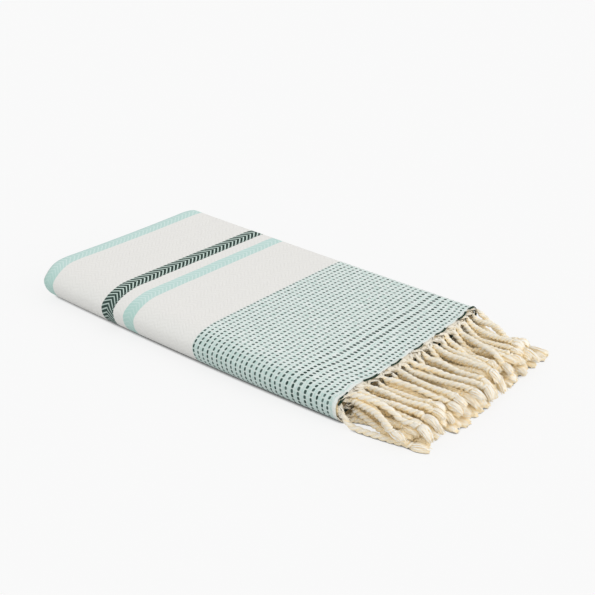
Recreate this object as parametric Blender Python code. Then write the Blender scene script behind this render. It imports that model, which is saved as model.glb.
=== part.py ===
"""Hammam towel, folded into a flat stack, with the knotted fringes of both its hems lying out at one end.

The woven cloth is about 1.75 m long and 1.00 m wide. It is folded in half crosswise twice, which gives
four plies, and then in half lengthwise twice, so the stack has sixteen layers. Both hems come out at the
same end. The cloth is one solid: the outline of its four plies, carried round the back-and-forth section
of the lengthwise folds. Each fringe is a solid of its own, a narrow strip along its hem with the strands'
roots in it.

Metres, +Z up, standing on z = 0. +X runs from the crosswise folds to the fringe, +Y from the near side,
where the wide outer fold is, to the far side. The origin is under the middle of the whole towel.
"""

import math
import random

import bmesh
import bpy
import numpy as np
from mathutils import Vector

# The folded stack
STACK_LENGTH = 0.4452  # crosswise fold to hem, a quarter of the cloth's length
STACK_WIDTH = 0.250  # near side to far side, a quarter of the cloth's width
STACK_HEIGHTS = (  # height of the top at the crosswise folds, half way along and at the hem
    (0.0441, 0.0405, 0.0286),  # near side
    (0.0419, 0.0390, 0.0341),  # middle
    (0.0429, 0.0406, 0.0398),  # far side
)
NEAR_HEIGHTS_AT = 0.15  # share of the width where the near side's heights hold
FAR_HEIGHTS_AT = 0.95  # share of the width where the far side's heights hold
NEAR_BOW = 0.0051  # the near side bulges this far half way along
WEFT_SKEW = (0.0024, -0.0047)  # slant of the weft over the width, at the crosswise folds and at the hem
FOLD_INSET = (  # where along the width, and how far the crosswise folds are drawn in there
    (0.0, 0.0080),
    (0.028, 0.0015),
    (0.060, 0.0046),
    (0.230, 0.0046),
    (0.250, 0.0095),
)
FOLD_INSET_REACH = 0.050  # distance from the folds over which this fades out
HEM_INSET = (  # the same for the hems
    (0.0, 0.0015),
    (0.012, 0.0020),
    (0.040, 0.0050),
    (0.075, 0.0),
    (0.205, 0.0),
    (0.240, 0.0042),
)
HEM_INSET_REACH = 0.085

# The lengthwise folds, each as its size at the crosswise folds and at the hem
FOLD_FOOT = (0.0317, 0.0154)  # inset of the line where the near fold leaves the floor
FOLD_SHOULDER = (0.0600, 0.0109)  # inset of the line where the near fold reaches the top
FOLD_WIDEST = (0.560, 0.653)  # height of the near fold's widest line, as a share of the stack
FOLD_NEST = 0.018  # how far the innermost layer of the near fold is set in
FAR_FOLD_REACH = 0.0100  # the far fold's outer layer reaches this far past the flat top
FAR_FOLD_TIGHT = 0.0008  # the same for the innermost layer
FAR_FOLD_LEVEL = 0.75  # height of the far fold's middle, between the two passes that it joins
BOTTOM_SELVEDGE = 0.2485  # where the lowest pass of the cloth ends
MIDDLE_SELVEDGE = 0.2460  # where the other free pass ends, between the folds

# The four plies inside each pass. Depth runs from 0 at their outer face to 1 at their inner one.
PLIES = 4
PLY_CENTRES = [(ply + 0.5) / PLIES for ply in range(PLIES)]
PLY_HALF = 0.075  # half a ply's thickness, as a share of the pass: 1.1 to 1.6 mm of cloth
SHEET = 0.0014  # the cloth's thickness where it turns round a crosswise fold
OUTER_TURN = (0.0100, 0.0100)  # the fold round all four plies: its centre and its reach
INNER_TURN = (0.0075, 0.0030)  # the fold inside it
HEM_TURN = (STACK_LENGTH - 0.0100, 0.0030)  # the first crosswise fold, just inside the hems
OUTER_TURN_STEPS = 6
INNER_TURN_STEPS = 4
LENGTH_STATIONS = (0.08, 0.17, 0.26, 0.34, 0.40)

# The seven runs of the section, in order from one selvedge to the other, with their number of steps
RUNS = (
    ("bottom", 4),
    ("near outer fold", 10),
    ("top", 8),
    ("far fold", 6),
    ("upper middle", 3),
    ("near inner fold", 6),
    ("lower middle", 4),
)

# The fringes, with angles in degrees
STRANDS_PER_HEM = 45
FIRST_ROOT = {"fringe_top": 0.15, "fringe_under": 0.65}  # place of the first root, in spaces between roots
FRINGE_PLY = {"fringe_top": 0, "fringe_under": 1}  # the ply whose hem it is on
HEM_SAMPLES = 60  # points in each run where the hem is measured
STRIP_GAP = 0.0003
STRIP_WIDTH = 0.0025
ROOT_WIDTH = 0.0032
ROOT_LEAN = 15.0  # turn of the first ring, between the root's flat corners and the strand's
STRAND_REACH = (  # where along the width, and how far a strand reaches there at most
    (0.0, 0.0980),
    (0.040, 0.0955),
    (0.085, 0.0985),
    (0.130, 0.0970),
    (0.152, 0.0880),
    (0.180, 0.0950),
    (0.215, 0.0945),
    (0.250, 0.0920),
)
REACH_SPREAD = 0.022  # the shortest strands reach this much less
STRAND_SEED = 11
STRAND_RINGS = (  # share of the reach, half-thickness
    (0.05, 0.0021),  # throat
    (0.13, 0.0030),  # full cord
    (0.30, 0.0031),
    (0.48, 0.0031),
    (0.65, 0.0030),
    (0.76, 0.0039),  # knot
    (0.83, 0.0029),  # neck
    (0.92, 0.0034),  # brush of loose ends
    (1.00, 0.0024),
)

# How the strands fall
STRAND_CLEARANCE = 0.0005  # between strands that lie on each other
SAMPLES_PER_RING = 5
FALL_RATIO = 1.1  # a strand comes down over this many times the height of its root
FALL_BEND = 1.15  # 1 for a straight fall, more for a rounded one
HEADING_SPREAD = 3.0  # a strand heads this far to either side of +X
SLIDES = (-12.0, -8.0, -5.0, -2.5, 0.0, 2.5, 5.0, 8.0, 12.0)  # turns that a strand may take to lie lower
SLIDE_COST = 0.00006  # height that a strand must gain for each degree that it turns
TUCK_TURN = 60.0  # the low strands of the near side start out turned inwards by up to this
TUCK_FROM = 0.010  # where along the width they turn most
TUCK_TO = 0.060  # and where they go straight
TUCK_BELOW = 0.006  # height of root above which a strand isn't tucked in
TUCK_POWER = 5  # how soon a tucked strand straightens
FAR_TURN = -12.0  # the strands of the far fold start out turned inwards by this
FAR_FROM = 0.232  # where along the width they begin
SET_STRANDS = {  # (fringe, number): (shift of the root, heading at the root, at the tip, more reach)
    ("fringe_under", 11): (0.0, 5, 14, 0.002),  # lies apart, along the near side
    ("fringe_top", 11): (-0.006, 0, 0),
    ("fringe_top", 12): (0.013, 8, 2),
    ("fringe_top", 13): (0.0, 20, 0),
    ("fringe_top", 14): (0.0, 3, 6),
    ("fringe_top", 15): (0.0, 9, -2),
    ("fringe_top", 16): (0.002, -12, -2),
    ("fringe_top", 17): (0.0, 12, 10),
    ("fringe_under", 16): (0.0, 0, 8),
    ("fringe_top", 19): (-0.002, 0, -2),
    ("fringe_top", 23): (0.0, 23, 0, -0.0045),  # the corner strand of the far side
    ("fringe_under", 23): (0.0, -28, 0),  # the one under it
}
LAID_FIRST = ("fringe_under", 11)  # the others lie clear of this one

COTTON_CREAM = (0.78, 0.73, 0.62, 1.0)
CLOTH_WHITE = (0.78, 0.77, 0.74, 1.0)


def mix(start, end, share):
    return start + (end - start) * share


def through_three(share, start, middle, end):
    """The parabola that has these values at shares 0, 0.5 and 1."""
    return (
        start * (1 - share) * (1 - 2 * share)
        + middle * 4 * share * (1 - share)
        + end * share * (2 * share - 1)
    )


def smooth_table(table, position):
    """The value at a position in a table of positions and values, with an even curve between them."""
    for (before, start), (after, end) in zip(table, table[1:]):
        if position < after:
            share = min(max((position - before) / (after - before), 0.0), 1.0)
            return mix(start, end, share * share * (3 - 2 * share))
    return table[-1][1]


def stack_height(x, y):
    along = min(max(x / STACK_LENGTH, 0.0), 1.0)
    across = (y / STACK_WIDTH - NEAR_HEIGHTS_AT) / (FAR_HEIGHTS_AT - NEAR_HEIGHTS_AT)
    across = min(max(across, 0.0), 1.0)
    near, middle, far = (through_three(along, *row) for row in STACK_HEIGHTS)
    return through_three(across, near, middle, far)


def near_fold(x, turn, shell):
    """(y, level) on a near fold. Turn is -1 at its foot, 0 at its widest line and 1 at its shoulder.
    Shell is 1 for the outermost layer of the stack and 0 for the innermost."""
    along = x / STACK_LENGTH
    widest = mix(*FOLD_WIDEST, along)
    angle = abs(turn) * math.pi / 2
    if turn < 0:
        inset = mix(*FOLD_FOOT, along) * (1 - math.cos(angle))
        level = widest * (1 - math.sin(angle))
    else:
        inset = mix(*FOLD_SHOULDER, along) * (1 - math.cos(angle))
        level = widest + (1 - widest) * math.sin(angle)
    return inset + FOLD_NEST * (1 - shell), 0.5 + shell * (level - 0.5)


def section_point(path, x, depth):
    """(y, level) where the pass has this depth. Path counts the runs. Level is 0 at the floor, 1 on top."""
    run = min(int(path), len(RUNS) - 1)
    share = path - run
    outer_shell = 1 - depth / 2
    inner_shell = depth / 2
    far_flat = STACK_WIDTH - FAR_FOLD_REACH
    if run == 0:
        foot, level = near_fold(x, -1, outer_shell)
        return mix(BOTTOM_SELVEDGE, foot, share), level
    if run == 1:
        return near_fold(x, 2 * share - 1, outer_shell)
    if run == 2:
        shoulder, level = near_fold(x, 1, outer_shell)
        return mix(shoulder, far_flat, share), level
    if run == 3:
        angle = share * math.pi
        reach = mix(FAR_FOLD_REACH, FAR_FOLD_TIGHT, depth)
        rise = (1 - FAR_FOLD_LEVEL) * (1 - depth)
        return far_flat + reach * math.sin(angle), FAR_FOLD_LEVEL + rise * math.cos(angle)
    if run == 4:
        shoulder, level = near_fold(x, 1, inner_shell)
        return mix(far_flat, shoulder, share), level
    if run == 5:
        return near_fold(x, 1 - 2 * share, inner_shell)
    foot, level = near_fold(x, -1, inner_shell)
    return mix(foot, MIDDLE_SELVEDGE, share), level


def place(path, x, depth):
    """The point in space of a point of the folded cloth."""
    y, level = section_point(path, x, depth)
    along = x / STACK_LENGTH
    margin = (PLY_CENTRES[0] - PLY_HALF) / PLIES
    z = stack_height(x, y) * (level - margin) / (1 - 2 * margin)
    fold_share = max(1 - x / FOLD_INSET_REACH, 0.0)
    hem_share = max(1 - (STACK_LENGTH - x) / HEM_INSET_REACH, 0.0)
    drawn_in = smooth_table(FOLD_INSET, y) * fold_share - smooth_table(HEM_INSET, y) * hem_share
    x += mix(*WEFT_SKEW, along) * (y / STACK_WIDTH - 0.5) + drawn_in
    y -= NEAR_BOW * 4 * along * (1 - along) * (1 - y / STACK_WIDTH)
    return Vector((x, y, max(z, 0.0)))


def path_stations():
    stations = [0.0]
    for number, (_, steps) in enumerate(RUNS):
        stations += [number + step / steps for step in range(1, steps + 1)]
    return stations


def turn_points(centre, reach, centre_depth, half_depth, steps):
    """Points round a crosswise fold, from its lower depth to its higher one."""
    points = []
    for step in range(steps + 1):
        angle = math.pi * step / steps
        points.append((centre + reach * math.sin(angle), centre_depth - half_depth * math.cos(angle)))
    return points


def ply_outline():
    """The closed outline of the four plies, as (x, depth), folded back and forth between the folds."""
    top, under, lower, lowest = PLY_CENTRES
    half = PLY_HALF
    rightward = list(LENGTH_STATIONS)
    leftward = rightward[::-1]
    half_pitch = (under - top) / 2

    def run(stations, depth):
        return [(x, depth) for x in stations]

    def turn(fold, side, between, growth, steps):
        centre, reach = fold
        reach += SHEET * (growth - 1) / 2
        middle = (between[0] + between[1]) / 2
        half_depth = (between[1] - between[0]) / 2 + half * growth
        return turn_points(centre, side * reach, middle, half_depth, steps)

    left, right = -1, 1
    outside, inside = 1, -1
    outer_out = turn(OUTER_TURN, left, (top, lowest), outside, OUTER_TURN_STEPS)
    outer_in = turn(OUTER_TURN, left, (top, lowest), inside, OUTER_TURN_STEPS)
    inner_out = turn(INNER_TURN, left, (under, lower), outside, INNER_TURN_STEPS)
    inner_in = turn(INNER_TURN, left, (under, lower), inside, INNER_TURN_STEPS)
    hem_out = turn(HEM_TURN, right, (lower, lowest), outside, INNER_TURN_STEPS)
    hem_in = turn(HEM_TURN, right, (lower, lowest), inside, INNER_TURN_STEPS)

    outline = [(STACK_LENGTH, top - half)]
    outline += run(leftward, top - half) + outer_out + run(rightward, lowest + half)
    outline += hem_out[::-1] + run(leftward, lower - half) + inner_in[::-1] + run(rightward, under + half)
    outline += [(STACK_LENGTH, under + half), (STACK_LENGTH, under - half)]
    outline += run(leftward, under - half) + inner_out + run(rightward, lower + half)
    outline += hem_in + run(leftward, lowest - half) + outer_in[::-1] + run(rightward, top + half)
    outline += [(STACK_LENGTH, top + half)]
    return outline


def cloth_mesh():
    """The whole cloth: the outline of the plies carried along the section, closed at the two selvedges."""
    mesh = bmesh.new()
    outline = ply_outline()
    rings = []
    for path in path_stations():
        rings.append([mesh.verts.new(place(path, x, depth)) for x, depth in outline])
    count = len(outline)
    for before, after in zip(rings, rings[1:]):
        for k in range(count):
            mesh.faces.new((before[k], before[(k + 1) % count], after[(k + 1) % count], after[k]))
    mesh.faces.new(rings[0][::-1])
    mesh.faces.new(rings[-1])
    return mesh


def hem_lengths(depth):
    """Path values along the hem and the length of hem up to each."""
    paths = [step / HEM_SAMPLES for step in range(len(RUNS) * HEM_SAMPLES + 1)]
    points = [place(path, STACK_LENGTH, depth) for path in paths]
    lengths = [0.0]
    for before, after in zip(points, points[1:]):
        lengths.append(lengths[-1] + (after - before).length)
    return paths, lengths


def root_spans(fringe):
    """The path values at the two edges of each root along a hem."""
    paths, lengths = hem_lengths(PLY_CENTRES[FRINGE_PLY[fringe]])
    pitch = lengths[-1] / STRANDS_PER_HEM
    spans = []
    for number in range(STRANDS_PER_HEM):
        shift = SET_STRANDS.get((fringe, number), (0.0,))[0]
        centre = (number + FIRST_ROOT[fringe]) * pitch + shift
        edges = np.interp((centre - ROOT_WIDTH / 2, centre + ROOT_WIDTH / 2), lengths, paths)
        spans.append((float(edges[0]), float(edges[1])))
    return spans


def hem_x(path, depth):
    """How far out the hem lies. The cloth's edge is straight between the stations of its section."""
    stations = path_stations()
    return float(np.interp(path, stations, [place(station, STACK_LENGTH, depth).x for station in stations]))


def strip_corner(fringe, path, outer, high):
    """A corner of the strip's section: outer is away from the hem, high is at the ply's inner face."""
    depth = PLY_CENTRES[FRINGE_PLY[fringe]] + (PLY_HALF if high else -PLY_HALF)
    point = place(path, STACK_LENGTH, depth)
    point.x = hem_x(path, depth) + STRIP_GAP + (STRIP_WIDTH if outer else 0.0)
    return point


def root_centre(fringe, span):
    """The middle of a root, on the outer side of the strip."""
    middle = (span[0] + span[1]) / 2
    depth = PLY_CENTRES[FRINGE_PLY[fringe]]
    outer, inner = (place(middle, STACK_LENGTH, depth + side * PLY_HALF) for side in (-1, 1))
    centre = (outer + inner) / 2
    centre.x += STRIP_GAP + STRIP_WIDTH
    return centre


def resting_height(x, y, half, laid):
    """Lowest height for a strand's centre at which it clears the floor and all strands laid before."""
    if not len(laid):
        return half
    apart = half + laid[:, 3] + STRAND_CLEARANCE
    beside = (laid[:, 0] - x) ** 2 + (laid[:, 1] - y) ** 2
    below = beside < apart**2
    if not below.any():
        return half
    lift = laid[below, 2] + np.sqrt(apart[below] ** 2 - beside[below])
    return max(half, float(lift.max()))


def tuck(root):
    """How far a strand starts out turned inwards, in radians: only the low ones of the near side do."""
    if root.z > TUCK_BELOW:
        return 0.0
    share = (TUCK_TO - root.y) / (TUCK_TO - TUCK_FROM)
    return math.radians(TUCK_TURN) * min(max(share, 0.0), 1.0)


def lay_strand(root, heading, reach, laid):
    """Rings of a strand as (centre, heading, half-thickness), from its root to its tip.
    It comes down from its root and comes to rest on the floor or on the strands under it."""
    start, end = (math.radians(angle) for angle in heading)
    tucked = tuck(root)

    def direction(share):
        return mix(start, end, share) + tucked * (1 - share) ** TUCK_POWER

    fine = []
    x, y = root.x, root.y
    before = 0.0
    rings = [0.0] + [share for share, _ in STRAND_RINGS]
    halves = [STRAND_RINGS[0][1] / 2] + [half for _, half in STRAND_RINGS]
    for number, (share, half) in enumerate(STRAND_RINGS):
        for step in range(1, SAMPLES_PER_RING + 1):
            now = mix(rings[number], share, step / SAMPLES_PER_RING)
            course = direction((before + now) / 2)
            x += math.cos(course) * (now - before) * reach
            y += math.sin(course) * (now - before) * reach
            thickness = mix(halves[number], half, step / SAMPLES_PER_RING)
            fine.append((now, x, y, thickness, resting_height(x, y, thickness, laid)))
            before = now
    fall = FALL_RATIO * root.z
    result = []
    for number, (share, half) in enumerate(STRAND_RINGS):
        last = (number + 1) * SAMPLES_PER_RING
        around = fine[number * SAMPLES_PER_RING : last + SAMPLES_PER_RING]
        rest = max(sample[4] - sample[3] for sample in around) + half
        free = root.z * (1 - min(share * reach / fall, 1.0) ** FALL_BEND)
        _, ring_x, ring_y, _, _ = fine[last - 1]
        result.append((Vector((ring_x, ring_y, max(free, rest))), direction(share), half))
    return result


def lay_lowest(root, heading, reach, slides, laid):
    """Lays a strand where it slides to: of the turns it may take, the one that lets it lie lowest."""
    best = None
    for first in slides:
        for last in slides:
            turned = (heading[0] + first, heading[1] + last)
            rings = lay_strand(root, turned, reach, laid)
            height = sum(centre.z for centre, _, _ in rings) / len(rings)
            cost = height + SLIDE_COST * (abs(first) + abs(last))
            if best is None or cost < best[0]:
                best = (cost, rings)
    return best[1]


def samples_along(root, rings):
    """Points (x, y, z, half-thickness) closely spaced along a strand that has been laid."""
    points = [(root, STRAND_RINGS[0][1] / 2)] + [(centre, half) for centre, _, half in rings]
    rows = []
    for (before, thin), (after, thick) in zip(points, points[1:]):
        for step in range(SAMPLES_PER_RING):
            share = (step + 1) / SAMPLES_PER_RING
            centre = before.lerp(after, share)
            rows.append((centre.x, centre.y, centre.z, mix(thin, thick, share)))
    return rows


def strand_aims(fringe, number, root, draw):
    """(heading at the root and at the tip, reach, slides it may take) of a strand."""
    heading = [draw.uniform(-HEADING_SPREAD, HEADING_SPREAD) for _ in range(2)]
    shorter = draw.uniform(0.0, REACH_SPREAD)
    longest = smooth_table(STRAND_REACH, root.y)
    if (fringe, number) in SET_STRANDS:
        _, first, last, *more = SET_STRANDS[fringe, number]
        return (first, last), longest + sum(more), (0.0,)
    if root.y > FAR_FROM:
        heading[0] += FAR_TURN
    return heading, longest - shorter, SLIDES


def lay_all_strands(spans):
    """Lays the strands of both fringes from the lowest root to the highest, each on those before it."""
    draw = random.Random(STRAND_SEED)
    waiting = []
    for fringe in sorted(spans):
        for number, span in enumerate(spans[fringe]):
            root = root_centre(fringe, span)
            order = ((fringe, number) != LAID_FIRST, root.z)
            waiting.append((order, fringe, number, root, strand_aims(fringe, number, root, draw)))
    waiting.sort(key=lambda strand: strand[:3])
    laid = np.zeros((0, 4))
    strands = {}
    for _, fringe, number, root, aims in waiting:
        rings = lay_lowest(root, *aims, laid)
        laid = np.vstack((laid, samples_along(root, rings)))
        strands[fringe, number] = rings
    return strands


def ring_corners(centre, heading, half, lean=0.0):
    """The four corners of a strand's section: near, top, far and bottom."""
    aside = Vector((-math.sin(heading), math.cos(heading), 0.0))
    up = Vector((0.0, 0.0, 1.0))
    corners = []
    for quarter in range(4):
        angle = math.pi - quarter * math.pi / 2 + lean
        corners.append(centre + half * (aside * math.cos(angle) + up * math.sin(angle)))
    return corners


def first_corner(root_corners, ring):
    """Which corner of the strand's first ring continues the root's first corner with the least twist."""
    root_middle = sum(root_corners, Vector()) / 4
    ring_middle = sum(ring, Vector()) / 4

    def twist(start):
        gaps = [(root_corners[k] - root_middle) - (ring[(k + start) % 4] - ring_middle) for k in range(4)]
        return sum(gap.length_squared for gap in gaps)

    return min(range(4), key=twist)


def add_strand(mesh, root, rings):
    """Grows a strand out of the four corners of its root."""
    leaning = ring_corners(*rings[0], math.radians(ROOT_LEAN))
    start = first_corner([corner.co for corner in root], leaning)
    before = root
    for ring in rings:
        corners = ring_corners(*ring)
        after = [mesh.verts.new(corners[(k + start) % 4]) for k in range(4)]
        for k in range(4):
            mesh.faces.new((before[k], before[(k + 1) % 4], after[(k + 1) % 4], after[k]))
        before = after
    mesh.faces.new(before)


def fringe_mesh(fringe, spans, strands):
    """The strip along a hem and all the strands that come out of it."""
    mesh = bmesh.new()
    stations = [path for path in path_stations() if not any(a <= path <= b for a, b in spans)]
    stations = sorted(stations + [edge for span in spans for edge in span])
    starts = {span[0]: number for number, span in enumerate(spans)}
    rows = []
    for path in stations:
        corners = [(False, False), (False, True), (True, True), (True, False)]
        rows.append([mesh.verts.new(strip_corner(fringe, path, *corner)) for corner in corners])
    for path, before, after in zip(stations, rows, rows[1:]):
        for k in range(4):
            if k == 2 and path in starts:
                root = [before[3], after[3], after[2], before[2]]
                add_strand(mesh, root, strands[fringe, starts[path]])
            else:
                mesh.faces.new((before[k], before[(k + 1) % 4], after[(k + 1) % 4], after[k]))
    mesh.faces.new(rows[0][::-1])
    mesh.faces.new(rows[-1])
    return mesh


def cloth_material(name, colour, roughness):
    material = bpy.data.materials.new(name)
    material.use_nodes = True
    shader = material.node_tree.nodes["Principled BSDF"]
    shader.inputs["Base Color"].default_value = colour
    shader.inputs["Roughness"].default_value = roughness
    shader.inputs["Metallic"].default_value = 0.0
    return material


def add_object(name, mesh, material):
    bmesh.ops.recalc_face_normals(mesh, faces=mesh.faces)
    data = bpy.data.meshes.new(name)
    mesh.to_mesh(data)
    mesh.free()
    data.materials.append(material)
    made = bpy.data.objects.new(name, data)
    bpy.context.scene.collection.objects.link(made)
    return made


def centre_on_origin(objects):
    """Moves all the meshes so that the origin is under the middle of the whole towel."""
    points = np.array([vertex.co for made in objects for vertex in made.data.vertices])
    middle = (points.min(axis=0) + points.max(axis=0)) / 2
    for made in objects:
        for vertex in made.data.vertices:
            vertex.co.x -= middle[0]
            vertex.co.y -= middle[1]


for old in list(bpy.data.objects):
    bpy.data.objects.remove(old)

cloth = add_object("cloth", cloth_mesh(), cloth_material("woven cotton", CLOTH_WHITE, 0.9))
root_places = {fringe: root_spans(fringe) for fringe in FIRST_ROOT}
all_strands = lay_all_strands(root_places)
pieces = [cloth]
for fringe_name, places in root_places.items():
    finish = cloth_material("twisted cotton " + fringe_name, COTTON_CREAM, 0.92)
    pieces.append(add_object(fringe_name, fringe_mesh(fringe_name, places, all_strands), finish))
centre_on_origin(pieces)
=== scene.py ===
"""The look of the folded hammam towel: woven cloth, two knotted fringes, a plain floor, light and camera.

Everything is laid out from the towel's own corner: x runs from the crosswise folds to the hems, y from the
near side to the far one, and z up from the floor. Adding towel_corner puts it where the frame has it.
"""

import math
import random

import bpy
import numpy as np
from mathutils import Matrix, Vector


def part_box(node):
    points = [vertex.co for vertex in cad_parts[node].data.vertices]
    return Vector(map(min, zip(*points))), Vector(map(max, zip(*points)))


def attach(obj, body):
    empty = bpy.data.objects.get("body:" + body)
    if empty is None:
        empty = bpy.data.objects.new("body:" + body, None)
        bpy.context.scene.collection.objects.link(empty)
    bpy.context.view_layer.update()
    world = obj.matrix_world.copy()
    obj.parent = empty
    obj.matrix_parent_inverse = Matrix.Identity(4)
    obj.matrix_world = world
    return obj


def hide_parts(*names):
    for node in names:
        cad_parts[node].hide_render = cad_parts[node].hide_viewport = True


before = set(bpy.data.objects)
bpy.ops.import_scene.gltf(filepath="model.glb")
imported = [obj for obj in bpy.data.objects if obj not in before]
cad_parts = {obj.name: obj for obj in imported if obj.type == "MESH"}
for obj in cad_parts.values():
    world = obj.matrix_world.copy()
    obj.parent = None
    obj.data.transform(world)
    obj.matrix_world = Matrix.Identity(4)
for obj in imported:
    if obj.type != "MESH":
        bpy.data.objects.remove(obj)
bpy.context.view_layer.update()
bpy.ops.object.select_all(action="DESELECT")

# ----------------------------------------------------------
# The cloth. One length of flat-woven cotton, 1.00 m wide and 1.75 m long, woven to a pattern of stripes
# and of rows of dashes towards both ends. It is folded in half crosswise twice and then lengthwise twice.

STACK_LENGTH = 0.4452
STACK_WIDTH = 0.250
STACK_HEIGHTS = (  # height of the top at the crosswise folds, half way along and at the hem
    (0.0441, 0.0405, 0.0286),  # near side
    (0.0419, 0.0390, 0.0341),  # middle
    (0.0429, 0.0406, 0.0398),  # far side
)
NEAR_HEIGHTS_AT = 0.15
FAR_HEIGHTS_AT = 0.95
NEAR_BOW = 0.0051
WEFT_SKEW = (0.0024, -0.0047)
HEM_INSET = ((0.0, 0.0015), (0.012, 0.0020), (0.040, 0.0050), (0.075, 0.0), (0.205, 0.0), (0.240, 0.0042))
HEM_INSET_REACH = 0.085
FOLD_INSET = ((0.0, 0.0080), (0.028, 0.0015), (0.060, 0.0046), (0.230, 0.0046), (0.250, 0.0095))
FOLD_INSET_REACH = 0.050
FOLD_FOOT = (0.0317, 0.0154)
FOLD_SHOULDER = (0.0600, 0.0109)
FOLD_WIDEST = (0.560, 0.653)
FOLD_NEST = 0.018
FAR_FOLD_REACH = 0.0100
FAR_FOLD_TIGHT = 0.0008
FAR_FOLD_LEVEL = 0.75
BOTTOM_SELVEDGE = 0.2485
MIDDLE_SELVEDGE = 0.2460
PLY_CENTRES = (0.125, 0.375, 0.625, 0.875)  # depth of the four plies in each pass
PLY_HALF = 0.075
SHEET = 0.0014
OUTER_TURN = (0.0100, 0.0100)
INNER_TURN = (0.0075, 0.0030)
HEM_TURN = (STACK_LENGTH - 0.0100, 0.0030)
RUN_STEPS = (12, 26, 40, 16, 8, 12, 8)  # steps in each run of the section, from one selvedge to the other
PLY_STEPS = (96, 26, 20, 30)  # steps along each ply, the outermost one first
TURN_STEPS = 10


def mix(start, end, share):
    return start + (end - start) * share


def through_three(share, start, middle, end):
    """The parabola that has these values at shares 0, 0.5 and 1."""
    return (
        start * (1 - share) * (1 - 2 * share)
        + middle * 4 * share * (1 - share)
        + end * share * (2 * share - 1)
    )


def smooth_table(table, position):
    """The value at a position in a table of positions and values, with an even curve between them."""
    for (before, start), (after, end) in zip(table, table[1:]):
        if position < after:
            share = min(max((position - before) / (after - before), 0.0), 1.0)
            return mix(start, end, share * share * (3 - 2 * share))
    return table[-1][1]


def stack_height(x, y):
    along = min(max(x / STACK_LENGTH, 0.0), 1.0)
    across = (y / STACK_WIDTH - NEAR_HEIGHTS_AT) / (FAR_HEIGHTS_AT - NEAR_HEIGHTS_AT)
    across = min(max(across, 0.0), 1.0)
    near, middle, far = (through_three(along, *row) for row in STACK_HEIGHTS)
    return through_three(across, near, middle, far)


def near_fold(x, turn, shell):
    """(y, level) on a near fold. Turn is -1 at its foot, 0 at its widest line and 1 at its shoulder."""
    along = x / STACK_LENGTH
    widest = mix(*FOLD_WIDEST, along)
    angle = abs(turn) * math.pi / 2
    if turn < 0:
        inset = mix(*FOLD_FOOT, along) * (1 - math.cos(angle))
        level = widest * (1 - math.sin(angle))
    else:
        inset = mix(*FOLD_SHOULDER, along) * (1 - math.cos(angle))
        level = widest + (1 - widest) * math.sin(angle)
    return inset + FOLD_NEST * (1 - shell), 0.5 + shell * (level - 0.5)


def section_point(path, x, depth):
    """(y, level) where a pass of the section has this depth. Path counts the runs of the section."""
    run = min(int(path), len(RUN_STEPS) - 1)
    share = path - run
    outer_shell = 1 - depth / 2
    inner_shell = depth / 2
    far_flat = STACK_WIDTH - FAR_FOLD_REACH
    if run == 0:
        foot, level = near_fold(x, -1, outer_shell)
        return mix(BOTTOM_SELVEDGE, foot, share), level
    if run == 1:
        return near_fold(x, 2 * share - 1, outer_shell)
    if run == 2:
        shoulder, level = near_fold(x, 1, outer_shell)
        return mix(shoulder, far_flat, share), level
    if run == 3:
        angle = share * math.pi
        reach = mix(FAR_FOLD_REACH, FAR_FOLD_TIGHT, depth)
        rise = (1 - FAR_FOLD_LEVEL) * (1 - depth)
        return far_flat + reach * math.sin(angle), FAR_FOLD_LEVEL + rise * math.cos(angle)
    if run == 4:
        shoulder, level = near_fold(x, 1, inner_shell)
        return mix(far_flat, shoulder, share), level
    if run == 5:
        return near_fold(x, 1 - 2 * share, inner_shell)
    foot, level = near_fold(x, -1, inner_shell)
    return mix(foot, MIDDLE_SELVEDGE, share), level


def place(path, x, depth):
    """The point in space of a point of the folded cloth."""
    y, level = section_point(path, x, depth)
    along = x / STACK_LENGTH
    margin = (PLY_CENTRES[0] - PLY_HALF) / len(PLY_CENTRES)
    z = stack_height(x, y) * (level - margin) / (1 - 2 * margin)
    fold_share = max(1 - x / FOLD_INSET_REACH, 0.0)
    hem_share = max(1 - (STACK_LENGTH - x) / HEM_INSET_REACH, 0.0)
    drawn_in = smooth_table(FOLD_INSET, y) * fold_share - smooth_table(HEM_INSET, y) * hem_share
    x += mix(*WEFT_SKEW, along) * (y / STACK_WIDTH - 0.5) + drawn_in
    y -= NEAR_BOW * 4 * along * (1 - along) * (1 - y / STACK_WIDTH)
    return Vector((x, y, max(z, 0.0)))


def section_stations():
    stations = [0.0]
    for number, steps in enumerate(RUN_STEPS):
        stations += [number + step / steps for step in range(1, steps + 1)]
    return stations


def ply_line():
    """The cloth's line through the plies, from hem to hem, as rows of
    (x, depth, how far x and depth change from the middle of the cloth to its outer face)."""
    top, under, lower, lowest = PLY_CENTRES
    rows = []

    def straight(start, end, steps, depth, outward):
        for step in range(steps):
            rows.append((mix(start, end, step / steps), depth, 0.0, outward * PLY_HALF))

    def turn(fold, side, start, end, growth):
        centre, reach = fold
        for step in range(TURN_STEPS):
            angle = math.pi * step / TURN_STEPS
            sine, cosine = math.sin(angle), math.cos(angle)
            middle, half = (start + end) / 2, (start - end) / 2
            outward = math.copysign(PLY_HALF, half) * growth * cosine
            x_out = side * growth * SHEET / 2 * sine
            rows.append((centre + side * reach * sine, middle + half * cosine, x_out, outward))

    straight(STACK_LENGTH, OUTER_TURN[0], PLY_STEPS[0], top, -1)
    turn(OUTER_TURN, -1, top, lowest, 1)
    straight(OUTER_TURN[0], HEM_TURN[0], PLY_STEPS[3], lowest, 1)
    turn(HEM_TURN, 1, lowest, lower, 1)
    straight(HEM_TURN[0], INNER_TURN[0], PLY_STEPS[2], lower, -1)
    turn(INNER_TURN, -1, lower, under, -1)
    straight(INNER_TURN[0], STACK_LENGTH, PLY_STEPS[1], under, 1)
    rows.append((STACK_LENGTH, under, 0.0, PLY_HALF))
    return rows


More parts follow.
